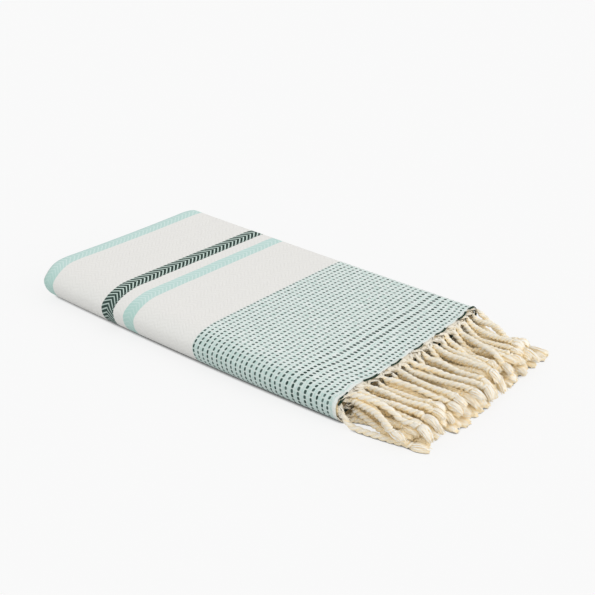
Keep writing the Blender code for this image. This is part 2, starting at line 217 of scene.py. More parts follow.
def lengths_along(points):
    """The distance from the first point to each, along the line through them."""
    steps = np.linalg.norm(np.diff(np.array(points), axis=0), axis=1)
    return np.concatenate(([0.0], np.cumsum(steps)))


MIDDLE_OF_TOP = 2.5  # path value half way across the top, where the cloth's length is measured
MIDDLE_OF_BAND = 0.35  # x where the count of its width starts
line = ply_line()
section = section_stations()
cloth_length_at = lengths_along([place(MIDDLE_OF_TOP, x, depth) for x, depth, _, _ in line])
CLOTH_LENGTH = float(cloth_length_at[-1])


def section_lengths(x):
    """How much of the cloth's width lies up to each station of the section, on its outer ply."""
    return lengths_along([place(path, x, PLY_CENTRES[0])[1:] for path in section])


TOP_END = section.index(3.0)  # the station where the top ends and the far fold begins
across_at_top_end = section_lengths(MIDDLE_OF_BAND)[TOP_END]


def widths_across(x):
    """How far across the cloth each station lies, counted so that the warp runs straight along the top."""
    lengths = section_lengths(x)
    return lengths + across_at_top_end - lengths[TOP_END]


# Where the fringe's cords draw the hem out: one root every 22 mm along both hems
STRANDS_PER_HEM = 45
HEM_SAMPLES = 60
ROOT_WIDTH = 0.0032
FIRST_ROOT = {"fringe_top": 0.15, "fringe_under": 0.65}
FRINGE_PLY = {"fringe_top": 0, "fringe_under": 1}
# (fringe, number): (shift of the root along the hem, heading at the root and at the tip, more reach)
SET_STRANDS = {
    ("fringe_under", 11): (0.0, 5, 14, 0.002),
    ("fringe_top", 11): (-0.006, 0, 0),
    ("fringe_top", 12): (0.013, 8, 2),
    ("fringe_top", 13): (0.0, 20, 0),
    ("fringe_top", 14): (0.0, 3, 6),
    ("fringe_top", 15): (0.0, 9, -2),
    ("fringe_top", 16): (0.002, -12, -2),
    ("fringe_top", 17): (0.0, 12, 10),
    ("fringe_under", 16): (0.0, 0, 8),
    ("fringe_top", 19): (-0.002, 0, -2),
    ("fringe_top", 23): (0.0, 23, 0, -0.0045),
    ("fringe_under", 23): (0.0, -28, 0),
}
HEM_PULL = 0.0016
HEM_REST = 0.4  # share of the pull by which the hem draws back between two cords
PULL_WIDTH = 0.0050
PULL_FADES = 0.0080


def hem_lengths(depth):
    """Path values along the hem and the length of hem up to each."""
    paths = [step / HEM_SAMPLES for step in range(len(RUN_STEPS) * HEM_SAMPLES + 1)]
    return paths, lengths_along([place(path, STACK_LENGTH, depth) for path in paths])


hems = {fringe: hem_lengths(PLY_CENTRES[ply]) for fringe, ply in FRINGE_PLY.items()}
root_at = {}  # where each root is, along its hem
for fringe, (_, hem_length_at) in hems.items():
    pitch = hem_length_at[-1] / STRANDS_PER_HEM
    root_at[fringe] = [
        (number + FIRST_ROOT[fringe]) * pitch + SET_STRANDS.get((fringe, number), (0.0,))[0]
        for number in range(STRANDS_PER_HEM)
    ]


def hem_pull(path, from_hem, fringe):
    """How far a point of the cloth is drawn out towards the fringe."""
    where = np.interp(path, *hems[fringe])
    near = np.exp(-(((where - np.array(root_at[fringe])) / PULL_WIDTH) ** 2)).sum()
    return HEM_PULL * (near - HEM_REST) * math.exp(-from_hem / PULL_FADES)


WEFT_BOW = 0.0045
WEFT_BOW_ALONG = ((0.0, 0.25), (0.12, 1.0), (0.27, 1.0), (0.39, 0.0))
BORDER_STRETCH = ((0.0, 0.0048), (0.030, 0.0044), (0.070, 0.0))
BORDER_STRETCH_FROM_HEM = ((0.0, 0.0), (0.006, 1.0), (0.040, 0.9), (0.066, 0.0))


def weft_bow(x, y):
    """How far the weft is bowed towards the crosswise folds: in the middle of the width, and again near the
    hem, where the border is stretched round the near fold."""
    across = min(max(y / STACK_WIDTH, 0.0), 1.0)
    middle = WEFT_BOW * 4 * across * (1 - across) * smooth_table(WEFT_BOW_ALONG, x)
    border = smooth_table(BORDER_STRETCH, y) * smooth_table(BORDER_STRETCH_FROM_HEM, STACK_LENGTH - x)
    return middle + border


def folded(number):
    """Where a vertex of the flat cloth comes to lie. Its number gives its row, column and face."""
    face, number = divmod(number, len(section) * len(line))
    row, column = divmod(number, len(section))
    x, depth, x_out, depth_out = line[row]
    outward = -1 if face else 1
    point = place(section[column], x + outward * x_out, depth + outward * depth_out)
    point.x -= weft_bow(x, point.y)
    start = cloth_length_at[row]
    if start < CLOTH_LENGTH / 2:
        point.x += hem_pull(section[column], start, "fringe_top")
    else:
        point.x += hem_pull(section[column], CLOTH_LENGTH - start, "fringe_under")
    return point


bpy.ops.mesh.primitive_grid_add(x_subdivisions=len(section) - 1, y_subdivisions=len(line) - 1, size=1)
towel = bpy.context.object
towel.name = "towel"
thickness = towel.modifiers.new("cloth thickness", "SOLIDIFY")
thickness.thickness = SHEET
thickness.offset = 0
bpy.ops.object.modifier_apply(modifier=thickness.name)
flat_across = np.tile(np.concatenate([widths_across(x) for x, _, _, _ in line]), 2)
flat_along = np.tile(np.repeat(cloth_length_at, len(section)), 2)
corners = np.zeros(len(towel.data.loops), dtype=int)
towel.data.loops.foreach_get("vertex_index", corners)
towel_uv = np.stack((flat_across[corners], flat_along[corners]), axis=1)
towel.data.uv_layers[0].name = "cloth"
towel.data.uv_layers[0].data.foreach_set("uv", towel_uv.ravel())
laid_out = np.array([folded(number) for number in range(len(towel.data.vertices))])
# The crosswise folds and the far fold touch the sides of the cloth's box, which fixes the towel's corner
towel_corner = Vector((
    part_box("cloth")[0].x - laid_out[:, 0].min(),
    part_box("cloth")[1].y - laid_out[:, 1].max(),
    0.0,
))


def put_in_frame(piece, points):
    """Moves a piece's points, told from the towel's own corner, to where the frame has them."""
    piece.data.vertices.foreach_set("co", (points + np.array(towel_corner)).ravel())


put_in_frame(towel, laid_out)
bpy.ops.object.mode_set(mode="EDIT")
bpy.ops.mesh.select_all(action="SELECT")
bpy.ops.mesh.normals_make_consistent(inside=False)
bpy.ops.object.mode_set(mode="OBJECT")
bpy.ops.object.shade_smooth_by_angle(angle=math.radians(60))
towel.select_set(False)


def plug(tree, socket, value):
    """Puts a value on a socket: a link where it comes from another node, or else a number or a colour."""
    if isinstance(value, bpy.types.NodeSocket):
        tree.links.new(value, socket)
    else:
        socket.default_value = value


def calc(tree, operation, *values):
    node = tree.nodes.new("ShaderNodeMath")
    node.operation = operation
    for socket, value in zip(node.inputs, values):
        plug(tree, socket, value)
    return node.outputs[0]


def ramp(tree, value, low, high, at_low=0.0, at_high=1.0):
    """A smooth step from at_low, where the value is low, to at_high, where it is high."""
    node = tree.nodes.new("ShaderNodeMapRange")
    node.interpolation_type = "SMOOTHSTEP"
    for socket, setting in zip(node.inputs, (value, low, high, at_low, at_high)):
        plug(tree, socket, setting)
    return node.outputs["Result"]


def between(tree, value, low, high, soft):
    """1 where the value lies from low to high, 0 outside."""
    rises = ramp(tree, value, low - soft, low + soft)
    falls = ramp(tree, value, high - soft, high + soft, 1.0, 0.0)
    return calc(tree, "MULTIPLY", rises, falls)


def blend_colour(tree, share, first, second):
    node = tree.nodes.new("ShaderNodeMix")
    node.data_type = "RGBA"
    plug(tree, node.inputs["Factor"], share)
    plug(tree, node.inputs["A"], first)
    plug(tree, node.inputs["B"], second)
    return node.outputs["Result"]


def noise(tree, vector, scale):
    node = tree.nodes.new("ShaderNodeTexNoise")
    plug(tree, node.inputs["Vector"], vector)
    node.inputs["Scale"].default_value = scale
    return node.outputs["Fac"]


def stretched_noise(tree, across, along, scales):
    node = tree.nodes.new("ShaderNodeCombineXYZ")
    plug(tree, node.inputs["X"], calc(tree, "MULTIPLY", across, scales[0]))
    plug(tree, node.inputs["Y"], calc(tree, "MULTIPLY", along, scales[1]))
    return noise(tree, node.outputs["Vector"], 1.0)


def grown(tree, start, *growths):
    """A start value and what is added to it: pairs of a share and the amount added where it is 1."""
    for share, amount in growths:
        start = calc(tree, "MULTIPLY_ADD", share, amount, start)
    return start


def power_of(tree, value, power):
    return calc(tree, "POWER", calc(tree, "ABSOLUTE", value), power)


def from_middle(tree, count):
    return calc(tree, "SUBTRACT", calc(tree, "FRACT", count), 0.5)


def uv_parts(tree, name):
    """The two parts of a UV map, and the map as a vector."""
    uv = tree.nodes.new("ShaderNodeUVMap")
    uv.uv_map = name
    parts = tree.nodes.new("ShaderNodeSeparateXYZ")
    plug(tree, parts.inputs["Vector"], uv.outputs["UV"])
    return parts.outputs["X"], parts.outputs["Y"], uv.outputs["UV"]


def new_material(name, roughness, specular, sheen=0.0, sheen_roughness=0.5):
    """A material, its node tree and the inputs of its shader."""
    material = bpy.data.materials.new(name)
    material.use_nodes = True
    inputs = material.node_tree.nodes["Principled BSDF"].inputs
    inputs["Roughness"].default_value = roughness
    inputs["Specular IOR Level"].default_value = specular
    inputs["Sheen Weight"].default_value = sheen
    inputs["Sheen Roughness"].default_value = sheen_roughness
    return material, material.node_tree, inputs


def add_bump(tree, shader, height, strength, distance):
    bump = tree.nodes.new("ShaderNodeBump")
    bump.inputs["Strength"].default_value = strength
    bump.inputs["Distance"].default_value = distance
    plug(tree, bump.inputs["Height"], height)
    plug(tree, shader["Normal"], bump.outputs["Normal"])


WEFT_DRIFT = 0.0016
DRIFT_SCALE = 55.0
NEAR_FOLD_SPAN = (0.216, 0.282)  # where the near fold is, across the cloth
FOLD_SOFT = 0.014
weave, tree, shader = new_material("woven cotton", 0.9, specular=0.12, sheen=0.04, sheen_roughness=0.6)
across, full_length, cloth_uv = uv_parts(tree, "cloth")
drift = calc(tree, "SUBTRACT", noise(tree, cloth_uv, DRIFT_SCALE), 0.5)
from_hem = calc(tree, "MINIMUM", full_length, calc(tree, "SUBTRACT", CLOTH_LENGTH, full_length))
along = calc(tree, "MULTIPLY_ADD", drift, WEFT_DRIFT, from_hem)
on_fold = between(tree, across, *NEAR_FOLD_SPAN, FOLD_SOFT)

# The herringbone of the whole ground: ribs along the cloth that turn back every 9 mm
RIB_PITCH = 0.0060
FOLD_RIB_PITCH = 0.0051  # round the near fold, where the cloth is drawn together
FOLD_RIBS_TO = 0.304
RIB_PERIOD = 0.0177
RIB_APEX = 0.3239
RIB_SLOPES = (1.07, 0.62)  # on the hem's side of an apex and on the other
RIB_EDGE = (0.28, 0.37)  # from the middle of a rib, in pitches
period_share = calc(tree, "DIVIDE", calc(tree, "SUBTRACT", along, RIB_APEX), RIB_PERIOD)
from_apex = from_middle(tree, calc(tree, "ADD", period_share, 0.5))
hem_side = calc(tree, "LESS_THAN", from_apex, 0.0)
slope = calc(tree, "MULTIPLY_ADD", hem_side, RIB_SLOPES[0] - RIB_SLOPES[1], RIB_SLOPES[1])
drop = calc(tree, "MULTIPLY", calc(tree, "ABSOLUTE", from_apex), slope)
rib_count = calc(tree, "DIVIDE", calc(tree, "MULTIPLY_ADD", drop, RIB_PERIOD, across), RIB_PITCH)
before_fold_end = calc(tree, "MINIMUM", calc(tree, "SUBTRACT", across, FOLD_RIBS_TO), 0.0)
rib_count = calc(tree, "MULTIPLY_ADD", before_fold_end, 1 / FOLD_RIB_PITCH - 1 / RIB_PITCH, rib_count)
rib = ramp(tree, calc(tree, "ABSOLUTE", from_middle(tree, rib_count)), *RIB_EDGE, 1.0, 0.0)

# The dashes: rows across the cloth, counted from the hem, in columns along it
DASH_ROWS = [0.0055, 0.0116, 0.0190, 0.0265, 0.0344, 0.0433, 0.0530, 0.0628, 0.0705, 0.0774, 0.0841, 0.0908]
EVEN_ROWS = 15
EVEN_ROW_PITCH = 0.00655
DASH_ROWS += [DASH_ROWS[-1] + EVEN_ROW_PITCH * (row + 1) for row in range(EVEN_ROWS)]
BAND_END = DASH_ROWS[-1] + 0.0019
BAND_ROWS = (0.6, len(DASH_ROWS) + 0.45)
BOLD_ROWS = (5.5, 7.5)
NEAR_HEM_ROWS = (8.0, 11.0)
ROW_SOFT = 0.02
ROW_SPAN = 0.2  # the curve that counts the rows covers this much cloth
ROW_COUNT = 30.0
COUNT_AT_HEM = 0.1
COLUMN_PITCH = 0.00545
DASH_SLANT = 0.25
HALF_LONG = 0.235  # half a dash in column pitches, and below what chance, a bold row and the fold add
LONG_BY_CHANCE = 0.06
LONG_IF_BOLD = 0.04
LONG_ON_FOLD = 0.095
HALF_THICK = 0.200  # in row pitches
THICK_IF_BOLD = 0.01
THICK_ON_FOLD = -0.030
THICK_BY_HEM = 0.010
DASH_CORNERS = 2.4  # an ellipse would be 2.0, a rectangle far more
DASH_EDGE = (0.90, 1.25)
DASH_DEPTH = 0.85  # of its colour
DEPTH_BY_CHANCE = 0.15
DEPTH_FAR_OFF = -0.08
count = tree.nodes.new("ShaderNodeFloatCurve")
plug(tree, count.inputs["Value"], calc(tree, "DIVIDE", along, ROW_SPAN))
curve = count.mapping.curves[0]
curve.points[0].location = (0.0, COUNT_AT_HEM / ROW_COUNT)
last_row = len(DASH_ROWS) + (ROW_SPAN - DASH_ROWS[-1]) / EVEN_ROW_PITCH
curve.points[1].location = (1.0, last_row / ROW_COUNT)
for number, row_at in enumerate(DASH_ROWS, start=1):
    curve.points.new(row_at / ROW_SPAN, number / ROW_COUNT)
for point in curve.points:
    point.handle_type = "VECTOR"
count.mapping.update()
row = calc(tree, "MULTIPLY", count.outputs["Value"], ROW_COUNT)
from_row = calc(tree, "SUBTRACT", row, calc(tree, "ROUND", row))
column = calc(tree, "DIVIDE", across, COLUMN_PITCH)
slanted = calc(tree, "MULTIPLY_ADD", from_row, DASH_SLANT, column)
from_column = from_middle(tree, slanted)
cell = tree.nodes.new("ShaderNodeCombineXYZ")
plug(tree, cell.inputs["X"], calc(tree, "FLOOR", slanted))
plug(tree, cell.inputs["Y"], calc(tree, "ROUND", row))
cell_noise = tree.nodes.new("ShaderNodeTexWhiteNoise")
cell_noise.noise_dimensions = "2D"
plug(tree, cell_noise.inputs["Vector"], cell.outputs["Vector"])
chance = cell_noise.outputs["Value"]
bold = between(tree, row, *BOLD_ROWS, ROW_SOFT)
near_hem = ramp(tree, row, *NEAR_HEM_ROWS, 1.0, 0.0)
half_long = grown(tree, HALF_LONG, (chance, LONG_BY_CHANCE), (bold, LONG_IF_BOLD), (on_fold, LONG_ON_FOLD))
half_thick = grown(tree, HALF_THICK, (bold, THICK_IF_BOLD), (on_fold, THICK_ON_FOLD))
half_thick = grown(tree, half_thick, (near_hem, THICK_BY_HEM))
long_share = power_of(tree, calc(tree, "DIVIDE", from_column, half_long), DASH_CORNERS)
thick_share = power_of(tree, calc(tree, "DIVIDE", from_row, half_thick), DASH_CORNERS)
in_dash = ramp(tree, calc(tree, "ADD", long_share, thick_share), *DASH_EDGE, 1.0, 0.0)
in_band = between(tree, row, *BAND_ROWS, ROW_SOFT)
far_off = calc(tree, "SUBTRACT", 1.0, calc(tree, "MAXIMUM", near_hem, on_fold))
depth = grown(tree, DASH_DEPTH, (chance, DEPTH_BY_CHANCE), (far_off, DEPTH_FAR_OFF))
dash = calc(tree, "MULTIPLY", calc(tree, "MULTIPLY", in_dash, in_band), depth)

# The colours, from the hem: a white edge, the dashed border, and three stripes on a cream ground
NEAR_MINT = (0.2805, 0.2973)
GREEN = (0.3132, 0.3328)
FAR_MINT = (0.4197, 0.4392)
STRIPE_SOFT = 0.0003
HEM_BORDER = (0.00096, 0.0024)  # the white edge fades out from here to here
OUTER_PASS = (0.210, 0.530)  # the part of the width that is on the outside of the stack
PASS_SOFT = 0.002
HEM_YARN_TO = (0.0040, 0.0050)  # the hems inside the stack show the cream of the gathered yarns this far, deepened to gold as painted shade of the gaps between the cords
STREAK_SCALES = (90.0, 900.0)  # across the cloth and along it
STREAK_EDGE = (0.38, 0.62)
FIBRE_SCALES = (1500.0, 700.0)
FIBRE_SHADE = (0.10, 0.95)  # how much the fibres lighten the darkest shade, and that shade
TIE_EDGE = (0.40, 0.47)  # the tie between two columns, from the middle of a column
TIE_SHARE = 0.75
RIB_SHARE = 0.35
# Painted shade: the near fold is the side of the stack turned from the light, so its mint, border band and
# cream are darkened
FOLD_SHADED_MINT_SHARE = 0.45
FOLD_GREEN_DARK_AND_SHADE_SHARE = 0.28
FOLD_SHADED_BAND_SHARE = (0.32, 0.04)  # painted shade: what the near fold adds to the share of the shaded band colour, and the share everywhere
FOLD_PAINTED_SHADE_SHARE = 0.05
RIB_RELIEF = 0.5
FLOAT_RELIEF = 0.6
FIBRE_RELIEF = 0.7
DASH_RELIEF = 0.5
FLOAT_ROUND = 4.0
CREAM = (0.740, 0.729, 0.703, 1.0)
CREAM_RIB = (0.785, 0.777, 0.755, 1.0)
MINT = (0.478, 0.648, 0.613, 1.0)
MINT_RIB = (0.580, 0.720, 0.694, 1.0)
PALE_MINT = (0.570, 0.690, 0.640, 1.0)
DARK_GREEN = (0.012, 0.034, 0.026, 1.0)
BAND_MINT = (0.520, 0.660, 0.618, 1.0)
BAND_WHITE = (0.740, 0.800, 0.782, 1.0)
TIE_PINK = (0.860, 0.800, 0.775, 1.0)
HEM_WHITE = (0.740, 0.770, 0.740, 1.0)
HEM_YARN_AND_GAP_SHADE = (0.760, 0.600, 0.360, 1.0)
FOLD_PAINTED_SHADE = (0.330, 0.500, 0.460, 1.0)
FOLD_SHADED_MINT = (0.330, 0.540, 0.480, 1.0)
FOLD_SHADED_BAND = (0.340, 0.500, 0.460, 1.0)

streaks = stretched_noise(tree, across, along, STREAK_SCALES)
fibres = stretched_noise(tree, across, along, FIBRE_SCALES)
mint_stripe = blend_colour(tree, rib, MINT_RIB, MINT)
# Painted shade: the mint goes deeper on the near fold
mint_stripe = blend_colour(tree, calc(tree, "MULTIPLY", on_fold, FOLD_SHADED_MINT_SHARE), mint_stripe, FOLD_SHADED_MINT)
# On the near fold more of the green stripe is dark: its dark threads lie closer there, and painted shade
green_rib_and_fold_shade = calc(tree, "MULTIPLY_ADD", on_fold, FOLD_GREEN_DARK_AND_SHADE_SHARE, rib)
green_stripe = blend_colour(tree, green_rib_and_fold_shade, PALE_MINT, DARK_GREEN)
tie = ramp(tree, calc(tree, "ABSOLUTE", from_column), *TIE_EDGE)
band = blend_colour(tree, ramp(tree, streaks, *STREAK_EDGE), BAND_MINT, BAND_WHITE)
band = blend_colour(tree, calc(tree, "MULTIPLY", tie, TIE_SHARE), band, TIE_PINK)
# Painted shade: the border band is darker on the near fold
band = blend_colour(tree, calc(tree, "MULTIPLY_ADD", on_fold, *FOLD_SHADED_BAND_SHARE), band, FOLD_SHADED_BAND)
band = blend_colour(tree, dash, band, DARK_GREEN)
colour = blend_colour(tree, calc(tree, "MULTIPLY", rib, RIB_SHARE), CREAM, CREAM_RIB)
for span, stripe in ((NEAR_MINT, mint_stripe), (GREEN, green_stripe), (FAR_MINT, mint_stripe)):
    colour = blend_colour(tree, between(tree, along, *span, STRIPE_SOFT), colour, stripe)
in_border = ramp(tree, along, BAND_END - STRIPE_SOFT, BAND_END + STRIPE_SOFT, 1.0, 0.0)
colour = blend_colour(tree, in_border, colour, band)
colour = blend_colour(tree, ramp(tree, along, *HEM_BORDER, 1.0, 0.0), colour, HEM_WHITE)
outer_pass = between(tree, across, *OUTER_PASS, PASS_SOFT)
outer_ply = calc(tree, "LESS_THAN", full_length, CLOTH_LENGTH / 2)
inside = calc(tree, "SUBTRACT", 1.0, calc(tree, "MULTIPLY", outer_pass, outer_ply))
at_edge = ramp(tree, along, *HEM_YARN_TO, 1.0, 0.0)
# In part painted shade: the hem edges inside the stack, seen only in the gaps between cords, take the yarns'
# cream deepened to gold
colour = blend_colour(tree, calc(tree, "MULTIPLY", inside, at_edge), colour, HEM_YARN_AND_GAP_SHADE)
# Painted shade over the whole near fold
colour = blend_colour(tree, calc(tree, "MULTIPLY", on_fold, FOLD_PAINTED_SHADE_SHARE), colour, FOLD_PAINTED_SHADE)
shaded = tree.nodes.new("ShaderNodeVectorMath")
shaded.operation = "SCALE"
plug(tree, shaded.inputs["Vector"], colour)
plug(tree, shaded.inputs["Scale"], calc(tree, "MULTIPLY_ADD", fibres, *FIBRE_SHADE))
plug(tree, shader["Base Color"], shaded.outputs["Vector"])
across_float = power_of(tree, calc(tree, "MULTIPLY", from_column, 2.0), FLOAT_ROUND)
floats = calc(tree, "MULTIPLY", calc(tree, "SUBTRACT", 1.0, across_float), in_border)
relief = grown(
    tree,
    calc(tree, "MULTIPLY", rib, RIB_RELIEF),
    (floats, FLOAT_RELIEF),
    (fibres, FIBRE_RELIEF),
    (dash, DASH_RELIEF),
)
add_bump(tree, shader, relief, strength=0.5, distance=0.0004)
towel.data.materials.append(weave)
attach(towel, "root")
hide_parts("cloth")

# ----------------------------------------------------------
# The fringes. At each hem the warp yarns are gathered into 45 bundles, each twisted into a two-ply cord,
# knotted, and left as a loose brush beyond the knot.

STRIP_GAP = 0.0003
STRIP_WIDTH = 0.0025
STRAND_REACH = (  # where along the width, and how far a strand reaches there at most
    (0.0, 0.0980),
    (0.040, 0.0955),
    (0.085, 0.0985),
    (0.130, 0.0970),
    (0.152, 0.0880),
    (0.180, 0.0950),
    (0.215, 0.0945),
    (0.250, 0.0920),
)
REACH_SPREAD = 0.022
STRAND_SEED = 11
STRAND_RINGS = (  # share of the reach, half-thickness
    (0.05, 0.0021),
    (0.13, 0.0030),
    (0.30, 0.0031),
    (0.48, 0.0031),
    (0.65, 0.0030),
    (0.76, 0.0039),
    (0.83, 0.0029),
    (0.92, 0.0034),
    (1.00, 0.0024),
)
STRAND_CLEARANCE = 0.0005
SAMPLES_PER_RING = 5
FALL_RATIO = 1.1
FALL_BEND = 1.15
HEADING_SPREAD = 3.0
SLIDES = (-12.0, -8.0, -5.0, -2.5, 0.0, 2.5, 5.0, 8.0, 12.0)
SLIDE_COST = 0.00006
TUCK_TURN = 60.0
TUCK_FROM = 0.010
TUCK_TO = 0.060
TUCK_BELOW = 0.006
TUCK_POWER = 5
FAR_TURN = -12.0
FAR_FROM = 0.232
LAID_FIRST = ("fringe_under", 11)


def hem_point(fringe, where, outward, lift):
    """A point at this length along a hem, outward from the cloth's edge and above the ply's middle."""
    path = float(np.interp(where, hems[fringe][1], hems[fringe][0]))
    point = place(path, STACK_LENGTH, PLY_CENTRES[FRINGE_PLY[fringe]])
    return point + Vector((outward, 0.0, lift))


def root_centre(fringe, number):
    """The middle of a root, on the outer side of the strip along the hem."""
    paths, lengths = hems[fringe]
    where = root_at[fringe][number]
    edges = np.interp((where - ROOT_WIDTH / 2, where + ROOT_WIDTH / 2), lengths, paths)
    middle = float(edges.mean())
    depth = PLY_CENTRES[FRINGE_PLY[fringe]]
    low, high = (place(middle, STACK_LENGTH, depth + side * PLY_HALF) for side in (-1, 1))
    centre = (low + high) / 2
    centre.x += STRIP_GAP + STRIP_WIDTH
    return centre


def resting_height(x, y, half, laid):
    """Lowest height for a strand's centre at which it clears the floor and all strands laid before."""
    if not len(laid):
        return half
    apart = half + laid[:, 3] + STRAND_CLEARANCE
    beside = (laid[:, 0] - x) ** 2 + (laid[:, 1] - y) ** 2
    below = beside < apart**2
    if not below.any():
        return half
    lift = laid[below, 2] + np.sqrt(apart[below] ** 2 - beside[below])
    return max(half, float(lift.max()))


def tuck(root):
    """How far a strand starts out turned inwards, in radians: only the low ones of the near side do."""
    if root.z > TUCK_BELOW:
        return 0.0
    share = (TUCK_TO - root.y) / (TUCK_TO - TUCK_FROM)
    return math.radians(TUCK_TURN) * min(max(share, 0.0), 1.0)


def lay_strand(root, heading, reach, laid):
    """Rings of a strand as (centre, heading, half-thickness), from its root to its tip."""
    start, end = (math.radians(angle) for angle in heading)
    tucked = tuck(root)

    def direction(share):
        return mix(start, end, share) + tucked * (1 - share) ** TUCK_POWER

    fine = []
    x, y = root.x, root.y
    before = 0.0
    rings = [0.0] + [share for share, _ in STRAND_RINGS]
    halves = [STRAND_RINGS[0][1] / 2] + [half for _, half in STRAND_RINGS]
    for number, (share, half) in enumerate(STRAND_RINGS):
        for step in range(1, SAMPLES_PER_RING + 1):
            now = mix(rings[number], share, step / SAMPLES_PER_RING)
            course = direction((before + now) / 2)
            x += math.cos(course) * (now - before) * reach
            y += math.sin(course) * (now - before) * reach
            width = mix(halves[number], half, step / SAMPLES_PER_RING)
            fine.append((now, x, y, width, resting_height(x, y, width, laid)))
            before = now
    fall = FALL_RATIO * root.z
    result = []
    for number, (share, half) in enumerate(STRAND_RINGS):
        last = (number + 1) * SAMPLES_PER_RING
        around = fine[number * SAMPLES_PER_RING : last + SAMPLES_PER_RING]
        rest = max(sample[4] - sample[3] for sample in around) + half
        free = root.z * (1 - min(share * reach / fall, 1.0) ** FALL_BEND)
        _, ring_x, ring_y, _, _ = fine[last - 1]
        result.append((Vector((ring_x, ring_y, max(free, rest))), direction(share), half))
    return result


def lay_lowest(root, heading, reach, slides, laid):
    """Lays a strand where it slides to: the turn, near the heading wanted, that lets it lie lowest."""
    best = None
    for first in slides:
        for last in slides:
            rings = lay_strand(root, (heading[0] + first, heading[1] + last), reach, laid)
            height = sum(centre.z for centre, _, _ in rings) / len(rings)
            cost = height + SLIDE_COST * (abs(first) + abs(last))
            if best is None or cost < best[0]:
                best = (cost, rings)
    return best[1]


def samples_along(root, rings):
    """Points (x, y, z, half-thickness) closely spaced along a strand that has been laid."""
    points = [(root, STRAND_RINGS[0][1] / 2)] + [(centre, half) for centre, _, half in rings]
    rows = []
    for (before, thin), (after, thick) in zip(points, points[1:]):
        for step in range(SAMPLES_PER_RING):
            share = (step + 1) / SAMPLES_PER_RING
            centre = before.lerp(after, share)
            rows.append((centre.x, centre.y, centre.z, mix(thin, thick, share)))
    return rows


def strand_aims(fringe, number, root, draw):
    """(heading at the root and at the tip, reach, slides it may take) of a strand."""
    heading = [draw.uniform(-HEADING_SPREAD, HEADING_SPREAD) for _ in range(2)]
    shorter = draw.uniform(0.0, REACH_SPREAD)
    longest = smooth_table(STRAND_REACH, root.y)
    if (fringe, number) in SET_STRANDS:
        _, first, last, *longer = SET_STRANDS[fringe, number]
        return (first, last), longest + sum(longer), (0.0,)
    if root.y > FAR_FROM:
        heading[0] += FAR_TURN
    return heading, longest - shorter, SLIDES


def lay_all_strands():
    """Lays the strands of both fringes from the lowest root to the highest, each on those before it."""
    draw = random.Random(STRAND_SEED)
    waiting = []
    for fringe in sorted(root_at):
        for number in range(STRANDS_PER_HEM):
            root = root_centre(fringe, number)
            order = ((fringe, number) != LAID_FIRST, root.z)
            waiting.append((order, fringe, number, root, strand_aims(fringe, number, root, draw)))
    waiting.sort(key=lambda strand: strand[:3])
    laid = np.zeros((0, 4))
    strands = {}
    for _, fringe, number, root, aims in waiting:
        rings = lay_lowest(root, *aims, laid)
        laid = np.vstack((laid, samples_along(root, rings)))
        strands[fringe, number] = [root] + [centre for centre, _, _ in rings]
    return strands


strand_lines = lay_all_strands()

# One straight strand, along z: yarns gathered from the hem, two plies wound round each other, a knot and a
# brush. A grid is the sides of a tube and the steps along it.
MODEL_LENGTH = 0.095
GATHERED_YARNS = 15
GATHER_HALF = 0.0100
GATHER_LENGTH = 0.0085
GATHERED_RADII = (0.00085, 0.0009)  # at the hem and at the cord
GATHER_BULGE = 0.0009
BULGE_TURN = 900  # how the bulge turns from yarn to yarn, in radians per metre of hem
WEB_SHARE = 0.7  # share of the gathered length that counts as web
YARN_GRID = (4, 4)
PLY_GRID = (7, 54)
PLY_RADIUS = 0.00210
PLY_OFFSET = 0.00126
PLY_START = 0.72  # share of the radius that a ply starts with
PLY_GROWTH = 5
CORD_FROM = 0.0040
KNOT_AT = 0.0740
KNOT_HALF = 0.0036
KNOT_RADIUS = 0.00165
KNOT_OFFSET = 0.00245
KNOT_SHAPE = (0.55, 0.45)  # share of the offset at the ends of the knot, and what is added in its middle
KNOT_TILT = 0.0010
KNOT_TURNS = 2.2
KNOT_GRID = (6, 26)
BRUSH_AFTER_KNOT = 0.0016
BRUSH_HALF = 0.0041
BRUSH_SHAPE = (0.17, 0.74)  # the part of half a wave that a brush's outline follows
BRUSH_FULLNESS = 0.8
BRUSH_YARNS = 22
BRUSH_RADIUS = 0.00085
BRUSH_BEND = 0.0009
BRUSH_SPREAD = (0.80, 1.12)
BRUSH_TURN = 0.9
BRUSH_UNEVEN = 0.0050
END_TAPER = (1.1, 0.3)
END_WAVES = 1.5
END_GRID = (4, 5)
CORE_SHORTER = 0.0015
CORE_SHARE = 0.93
CORE_GRID = (10, 8)
STRAY_ENDS = 9
STRAY_RADIUS = 0.00050
STRAY_FLARE = 0.0030
STRAY_BEND = 0.0015
STRAND_KINDS = (  # seed of the brush, turns of the cord, how far the knot is from its usual place
    (3, 4.6, 0.0010),
    (8, 5.8, 0.0040),
    (21, 5.1, -0.0030),
    (34, 6.4, 0.0025),
    (55, 5.4, -0.0010),
)
STRAND_TWIST_SEED = 5
OFF_HEM = 0.0002
OFF_FLOOR = 0.0003
# The yarn's share "outside" is 0 this far from a strand's axis, where the painted shade of the valleys
# between the plies is deepest, and 1 farther out. In the webs it is 2.
SHADE_FROM = 0.0006
SHADE_TO = 0.0030


def unit(rows):
    return rows / np.linalg.norm(rows, axis=1)[:, None]


